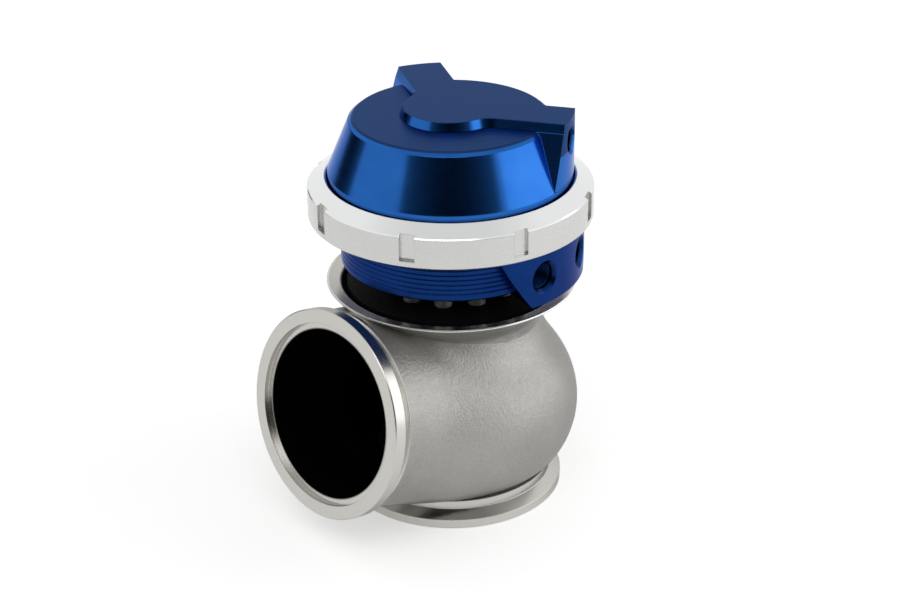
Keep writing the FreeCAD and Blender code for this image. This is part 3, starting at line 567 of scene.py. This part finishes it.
def makeGroovedWall(settings):
    section = [(settings["inside"], settings["low"]), (settings["wall"], settings["low"])]
    for k in range(settings["count"]):
        middle = settings["first"] + k * settings["pitch"]
        section += [(settings["wall"], middle - settings["half"]),
                    (settings["wall"] - settings["deep"], middle),
                    (settings["wall"], middle + settings["half"])]
    section += [(settings["wall"], settings["high"]), (settings["inside"], settings["high"])]
    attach(turnedRing("groovedWall", section, finish="blueBaseShaded", steps=192), "housing")


makeGroovedWall(grooves)


# broken edge of the dish rim
dishEdge = {"steps": 256,
            "section": [(0.0409, 0.07652), (0.0412, 0.07656), (0.04142, 0.07646),
                        (0.04155, 0.07625), (0.04158, 0.0760), (0.0415, 0.07578),
                        (0.0410, 0.0757)]}


def makeDishEdge(settings):
    edge = turnedRing("dishEdge", settings["section"], finish="bright",
                      steps=settings["steps"])
    for polygon in edge.data.polygons:
        polygon.use_smooth = True
    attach(edge, "housing")


makeDishEdge(dishEdge)


# leaning wall round the hub and arm pads of the cap
padWall = {"top": 0.1368, "foot": 0.1338, "spread": 0.0011, "reach": 0.04026,
           "step": 0.0006, "thick": 0.0008, "lap": 0.0004, "inset": 2e-5, "crease": 14}


def outerLoop(node, height):  # the outline of the node's flat top, in order
    mesh = frame["nodes"][node].data
    top = [f for f in mesh.polygons if f.normal.z > 0.99 and abs(f.center.z - height) < 2e-5]
    counts = {}
    for face in top:
        keys = [tuple(round(v, 6) for v in mesh.vertices[i].co[:2]) for i in face.vertices]
        for key in zip(keys, keys[1:] + keys[:1]):
            counts[key] = counts.get(key, 0) + 1
    after = {a: b for a, b in counts if (b, a) not in counts}
    loop, here = [], next(iter(after))
    while here in after:
        loop.append(Vector(here))
        here = after.pop(here)
    return loop


def makePadWall(settings):
    loop = outerLoop("top_cap", settings["top"])
    even = []  # the outline walked in short equal steps
    for here, there in zip(loop, loop[1:] + loop[:1]):
        pieces = max(1, round((there - here).length / settings["step"]))
        even += [here.lerp(there, k / pieces) for k in range(pieces)]
    count, vertices = len(even), []
    for k, here in enumerate(even):
        along = even[(k + 2) % count] - even[k - 2]
        out = Vector((along.y, -along.x)).normalized()
        foot = here + settings["spread"] * out
        if foot.length > settings["reach"]:
            foot = foot.normalized() * settings["reach"]
        edge, inner = here - settings["inset"] * out, here - settings["thick"] * out
        base = settings["foot"] - settings["lap"]
        vertices += [(edge.x, edge.y, settings["top"] - 1e-5),
                     (foot.x, foot.y, settings["foot"] + 1e-4), (foot.x, foot.y, base),
                     (inner.x, inner.y, base), (inner.x, inner.y, settings["top"] - 1e-4)]
    wall = newPiece("capPadWall", vertices, loopedFaces(count, 5, closed=True), "blueCap")
    wall.data.set_sharp_from_angle(angle=math.radians(settings["crease"]))
    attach(wall, "cap")


makePadWall(padWall)
print("grooves, dish edge and pad wall done")


# cast skin that lets the outlet tube, bulb and neck run together
skin = {"centre": (0.0, -0.012, 0.034), "blend": 0.016, "proud": 0.00006, "sunk": 0.0006,
        "ring": 0.0145, "bulbHeight": 0.0304, "bulb": 0.0275, "tube": 0.0332, "neck": 0.0300,
        "neckLow": 0.045, "neckBlend": 0.0065, "neckEnd": 0.0625, "tubeReach": 0.010,
        "low": 0.0098, "top": 0.078, "reach": 0.0480, "fade": 0.004, "lap": 0.001,
        "underDish": 0.0742, "dishRim": 0.0425,
        "across": 300, "down": 170, "dip": (12, 168), "search": (0.012, 0.090), "rounds": 34}


def softUnion(first, second, blend):
    share = np.clip(blend - np.abs(first - second), 0, None) / blend
    return np.minimum(first, second) - share * share * blend / 4


def skinDepth(place, settings):  # depth under the skin, reach along the tube, gap to the tube
    x, y, z = np.moveaxis(place, -1, 0)
    radius = np.hypot(x, y)
    bulb = np.hypot(np.maximum(radius - settings["ring"], 0), z - settings["bulbHeight"])
    tilt = math.radians(casting["outletTilt"])
    rise = z - casting["outletHeight"]
    reach = rise * math.sin(tilt) - y * math.cos(tilt)
    across = np.hypot(x, rise * math.cos(tilt) + y * math.sin(tilt))
    tube = np.where(reach < 0, np.hypot(across, reach), across) - settings["tube"]
    neck = np.maximum(radius - settings["neck"], settings["neckLow"] - z)
    body = softUnion(bulb - settings["bulb"], tube, settings["blend"])
    return softUnion(body, neck, settings["neckBlend"]), reach, tube


def skinPlaces(settings):  # a grid of points on the skin, found along rays from the centre
    turn = np.linspace(0, 2 * math.pi, settings["across"], endpoint=False)
    dip = np.linspace(*np.radians(settings["dip"]), settings["down"])
    turn, dip = np.meshgrid(turn, dip)
    ray = np.stack([np.sin(dip) * np.cos(turn), np.sin(dip) * np.sin(turn), np.cos(dip)], -1)
    centre = np.array(settings["centre"])
    near, far = (np.full(turn.shape, limit) for limit in settings["search"])
    for _ in range(settings["rounds"]):
        middle = (near + far) / 2
        inside = skinDepth(centre + ray * middle[..., None], settings)[0] < 0
        near, far = np.where(inside, middle, near), np.where(inside, far, middle)
    return centre + ray * near[..., None], ray


def makeSkin(settings):
    place, ray = skinPlaces(settings)
    _, reach, tube = skinDepth(place, settings)
    z = place[..., 2]
    hidden = ((z > settings["underDish"])
              & (np.hypot(place[..., 0], place[..., 1]) < settings["dishRim"]))
    margin = np.minimum(z - settings["low"], settings["reach"] - reach)
    byTube = settings["tubeReach"] - tube  # runs on under the dish only where the tube meets it
    margin = np.minimum(margin, np.maximum(settings["neckEnd"] - z, byTube))
    share = np.clip(margin / settings["fade"], 0, 1)
    offset = settings["proud"] - (1 - share) * settings["sunk"]
    points = (place + ray * offset[..., None]).reshape(-1, 3)
    keep = (margin > -settings["lap"]) & ~hidden & (z < settings["top"])
    across, faces = settings["across"], []
    for row in range(settings["down"] - 1):
        for column in range(across):
            beside = (column + 1) % across
            if keep[row:row + 2, column].all() and keep[row:row + 2, beside].all():
                faces.append((row * across + column, (row + 1) * across + column,
                              (row + 1) * across + beside, row * across + beside))
    used = sorted({v for face in faces for v in face})
    number = {v: k for k, v in enumerate(used)}
    piece = newPiece("castSkin", [tuple(points[v]) for v in used],
                     [tuple(number[v] for v in face) for face in faces], "cast")
    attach(piece, "housing")


makeSkin(skin)
print("cast skin done")


# taper-thread crests inside the four ports
portThread = {"pitch": 0.00094, "bore": 0.0043, "sunk": 0.00004, "crest": 0.00385,
              "crestHalf": 0.06, "rootHalf": 0.5, "turns": 8, "steps": 40, "start": 0.0016}
ports = {"lower_port_1": {"piece": "lowerPort_1", "body": "housing", "mouth": 0.0441},
         "lower_port_2": {"piece": "lowerPort_2", "body": "housing", "mouth": 0.0441},
         "upper_port_1": {"piece": "upperPort_1", "body": "cap", "mouth": 0.0403},
         "upper_port_2": {"piece": "upperPort_2", "body": "cap", "mouth": 0.0403}}


def makePortThread(mount, port):
    settings = portThread
    out, up, height = Vector(mount["axis"]), Vector((0, 0, 1)), mount["pos_m"][2]
    across = Vector((-out.y, out.x, 0))
    pitch, bore = settings["pitch"], settings["bore"] + settings["sunk"]
    crest, flat, root = (settings[k] for k in ("crest", "crestHalf", "rootHalf"))
    profile = [(bore, -root), (crest, -flat), (crest, flat), (bore, root)]
    vertices = []
    count = settings["turns"] * settings["steps"] + 1
    for step in range(count):
        angle = 2 * math.pi * step / settings["steps"]
        deep = port["mouth"] - settings["start"] - pitch * (step / settings["steps"] + 0.5)
        fade = min(1, 4 * min(step, count - 1 - step) / settings["steps"])
        for r, shift in profile:
            radius = bore - (bore - r) * fade
            place = (out * (deep - shift * pitch) + up * (height + radius * math.sin(angle))
                     + across * radius * math.cos(angle))
            vertices.append(tuple(place))
    faces = [(k * 4 + c, k * 4 + (c + 1) % 4, k * 4 + 4 + (c + 1) % 4, k * 4 + 4 + c)
             for k in range(count - 1) for c in range(4)]
    # the thread crests take the painted port shade colour
    piece = newPiece(port["piece"] + "Thread", vertices, faces, "portShadeBlue", smooth=False)
    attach(piece, port["body"])


for name, port in ports.items():
    makePortThread(mounts[name], port)
print("port threads done")


# floor and backdrop, dark cards that polished faces mirror, and soft light
studio = {"floorTone": 0.90, "floorGlow": 0.46, "floorSize": 12, "floorGap": 0.0002,
          "worldLight": 0.58, "backdrop": 1.0, "ceiling": 0.80, "ceilingEdge": (0.80, 0.97),
          "frontBearing": -42.8, "lampAim": 0.08}
cards = {"frontCard": {"bearing": 0, "half": 47, "low": 0.05, "high": 0.92, "glow": 0.24},
         "leftCard": {"bearing": -124, "half": 22, "low": 0.02, "high": 0.34, "glow": 0.25}}
cardShape = {"radius": 1.25, "steps": 24, "fade": 2.2}
lamps = {"rightPanel": {"bearing": 84, "height": 0.20, "distance": 0.85,
                        "size": (1.0, 0.75), "glow": 1.0},
         "topPanel": {"bearing": -8, "height": 0.92, "distance": 0.68,
                      "size": (0.75, 0.45), "glow": 1.5}}


def pictureRay(nodes, links):  # 1 for rays that show the backdrop
    path = nodes.new("ShaderNodeLightPath")
    shiny = larger(nodes, links, path.outputs["Is Glossy Ray"],
                   path.outputs["Is Transmission Ray"])
    return larger(nodes, links, path.outputs["Is Camera Ray"], shiny)


def makeFloor():
    level = cadBox[0][2] - studio["floorGap"]
    bpy.ops.mesh.primitive_plane_add(size=studio["floorSize"], location=(0, 0, level))
    floor = bpy.context.object
    floor.name = "studioFloor"
    material, nodes, links, surface = newMaterial("paleFloor")
    surface.inputs["Base Color"].default_value = (*[studio["floorTone"]] * 3, 1)
    surface.inputs["Roughness"].default_value = 0.9
    surface.inputs["Specular IOR Level"].default_value = 0.0
    surface.inputs["Emission Color"].default_value = (1, 1, 1, 1)
    links.new(times(nodes, links, pictureRay(nodes, links), studio["floorGlow"]),
              surface.inputs["Emission Strength"])
    floor.data.materials.append(material)


def makeCard(name, settings):
    steps, radius = cardShape["steps"], cardShape["radius"]
    half = math.radians(settings["half"])
    vertices = []
    for step in range(steps + 1):
        a = half * (2 * step / steps - 1)
        for z in (settings["low"], settings["high"]):
            vertices.append((radius * math.cos(a), radius * math.sin(a), z))
    faces = [(2 * k, 2 * k + 2, 2 * k + 3, 2 * k + 1) for k in range(steps)]
    mesh = bpy.data.meshes.new(name)
    mesh.from_pydata(vertices, [], faces)
    card = bpy.data.objects.new(name, mesh)
    bpy.context.collection.objects.link(card)
    card.rotation_euler = (0, 0, math.radians(studio["frontBearing"] + settings["bearing"]))
    material, nodes, links, surface = newMaterial(name)
    surface.inputs["Base Color"].default_value = (0.003, 0.003, 0.003, 1)
    surface.inputs["Roughness"].default_value = 1.0
    surface.inputs["Specular IOR Level"].default_value = 0.0
    surface.inputs["Emission Color"].default_value = (1, 1, 1, 1)
    x, y, _, _ = axisParts(nodes, links)
    side = mathNode(nodes, links, "ABSOLUTE", mathNode(nodes, links, "ARCTAN2", y, x))
    share = mathNode(nodes, links, "DIVIDE", side, half)  # the sides fade to grey
    links.new(times(nodes, links, mathNode(nodes, links, "POWER", share, cardShape["fade"]),
                    settings["glow"]), surface.inputs["Emission Strength"])
    card.data.materials.append(material)
    card.visible_camera = False


def makeLamp(name, settings):
    light = bpy.data.lights.new(name, "AREA")
    light.shape = "RECTANGLE"
    light.size, light.size_y = settings["size"]
    light.energy = settings["glow"] * math.pi * light.size * light.size_y
    lamp = bpy.data.objects.new(name, light)
    bpy.context.collection.objects.link(lamp)
    a = math.radians(studio["frontBearing"] + settings["bearing"])
    distance = settings["distance"]
    lamp.location = (distance * math.cos(a), distance * math.sin(a), settings["height"])
    aim = Vector((0, 0, studio["lampAim"])) - lamp.location
    lamp.rotation_euler = aim.to_track_quat("-Z", "Y").to_euler()
    lamp.visible_camera = False


def makeWorld():
    world = bpy.context.scene.world or bpy.data.worlds.new("studio")
    bpy.context.scene.world = world
    world.use_nodes = True
    nodes, links = world.node_tree.nodes, world.node_tree.links
    backdrop = nodes["Background"]
    backdrop.inputs["Color"].default_value = (1, 1, 1, 1)
    direction = nodes.new("ShaderNodeSeparateXYZ")
    links.new(nodes.new("ShaderNodeTexCoord").outputs["Generated"], direction.inputs[0])
    shown = spread(nodes, links, direction.outputs[2], studio["backdrop"], studio["ceiling"],
                   *studio["ceilingEdge"])
    links.new(mixNumber(nodes, links, pictureRay(nodes, links), studio["worldLight"], shown),
              backdrop.inputs["Strength"])


makeFloor()
for name, settings in cards.items():
    makeCard(name, settings)
makeWorld()
for name, settings in lamps.items():
    makeLamp(name, settings)
print("studio done")

# camera: long lens, a little above the part
view = {"azimuth": 47.2, "elevation": 26.2635, "roll": -0.4906, "distance": 0.7328965,
        "aimHeight": 0.0667178, "aimSide": -0.000497, "focal": 2180.078, "width": 900,
        "sensor": 36, "clip": (0.01, 20)}


def makeCamera():
    az, el, roll = (math.radians(view[k]) for k in ("azimuth", "elevation", "roll"))
    back = Vector((math.sin(az) * math.cos(el), -math.cos(az) * math.cos(el), math.sin(el)))
    right = Vector((math.cos(az), math.sin(az), 0))
    up = back.cross(right)
    target = Vector((0, 0, view["aimHeight"])) + view["aimSide"] * right
    tiltedRight = math.cos(roll) * right + math.sin(roll) * up
    tiltedUp = math.cos(roll) * up - math.sin(roll) * right
    camera = bpy.data.objects.new("camera", bpy.data.cameras.new("camera"))
    bpy.context.collection.objects.link(camera)
    camera.data.sensor_width = view["sensor"]
    camera.data.lens = view["focal"] * view["sensor"] / view["width"]
    place = target + view["distance"] * back
    columns = [(*axis, 0) for axis in (tiltedRight, tiltedUp, back)] + [(*place, 1)]
    camera.matrix_world = Matrix(columns).transposed()
    camera.data.clip_start, camera.data.clip_end = view["clip"]
    bpy.context.scene.camera = camera
    bpy.context.scene.view_settings.view_transform = "Standard"


makeCamera()
print("camera done")
